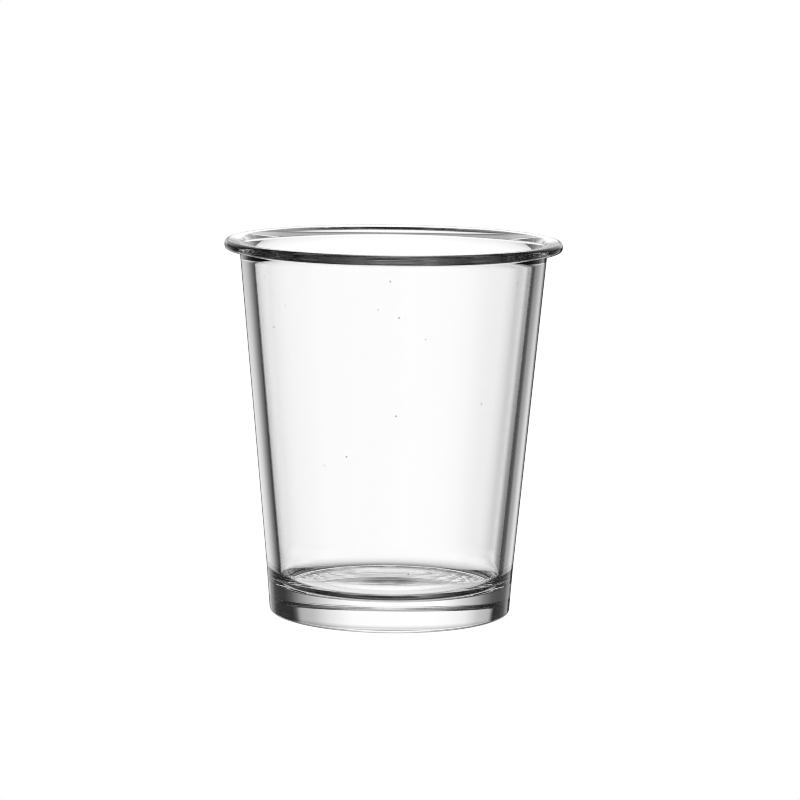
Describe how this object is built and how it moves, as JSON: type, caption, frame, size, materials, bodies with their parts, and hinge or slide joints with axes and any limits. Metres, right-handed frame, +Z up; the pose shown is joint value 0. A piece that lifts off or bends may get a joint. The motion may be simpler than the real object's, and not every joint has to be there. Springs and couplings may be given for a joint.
{
  "type": "glass tumbler",
  "caption": "Clear pressed-glass coffee tumbler with a flared lip, a straight tapered wall, a thick solid base and no handle.",
  "frame": {"origin": "on the axis, in the plane of the standing ring under the base", "axes": "+Z up along the axis, out of the mouth; X and Y are alike because the glass is round"},
  "size_m": [0.0842, 0.0842, 0.0938],
  "materials": {
    "clear_glass": "clear colourless pressed glass, fire polished"
  },
  "bodies": {
    "root": {"glass_tumbler": "clear_glass"}
  },
  "joints": []
}
